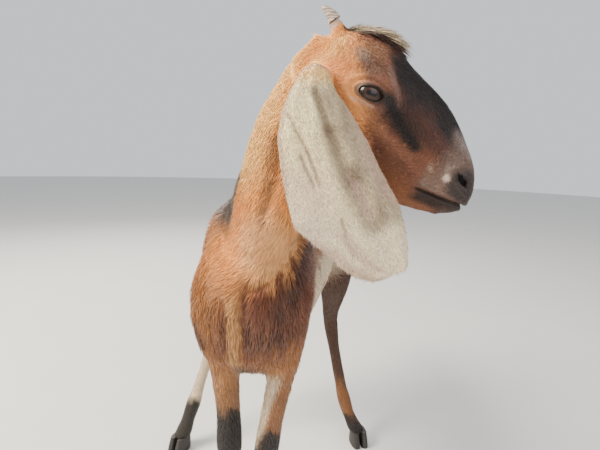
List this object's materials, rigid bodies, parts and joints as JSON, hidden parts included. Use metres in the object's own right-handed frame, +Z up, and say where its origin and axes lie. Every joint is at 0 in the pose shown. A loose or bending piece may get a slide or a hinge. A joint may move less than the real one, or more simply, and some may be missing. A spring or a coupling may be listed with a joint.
{
  "type": "nubian goat",
  "caption": "Life-size young Nubian goat standing with its head turned to its left, long hanging ears, short horns and cloven hooves, as a still museum model.",
  "frame": {"origin": "bottom centre of the whole model's box, on the floor between the feet", "axes": "+Z up, -Y the way the chest faces, +X the goat's left, the way the head is turned"},
  "size_m": [0.4688, 0.7792, 0.7614],
  "materials": {
    "head_hide": "short matt hair, brown face with a black bridge and eye stripe",
    "neck_hide": "short golden tan hair",
    "torso_hide": "short tan hair with brown and white patches",
    "tail_hide": "longer dark brown hair",
    "leg_hide": "short tan and white hair, black below the knees",
    "ear_hide": "thin cream hair speckled grey",
    "eye": "wet gloss, amber iris with a level slit pupil",
    "horn": "dry ringed grey horn",
    "hoof": "dark dull hoof horn"
  },
  "bodies": {
    "root": {"head": "head_hide", "neck": "neck_hide", "torso": "torso_hide", "tail": "tail_hide", "ear_left": "ear_hide", "ear_right": "ear_hide", "eye_left": "eye", "eye_right": "eye", "horn_left": "horn", "horn_right": "horn", "front_leg_left": "leg_hide", "front_leg_right": "leg_hide", "hind_leg_left": "leg_hide", "hind_leg_right": "leg_hide", "hoof_front_left_outer": "hoof", "hoof_front_left_inner": "hoof", "hoof_front_right_outer": "hoof", "hoof_front_right_inner": "hoof", "hoof_hind_left_outer": "hoof", "hoof_hind_left_inner": "hoof", "hoof_hind_right_outer": "hoof", "hoof_hind_right_inner": "hoof"}
  },
  "joints": []
}
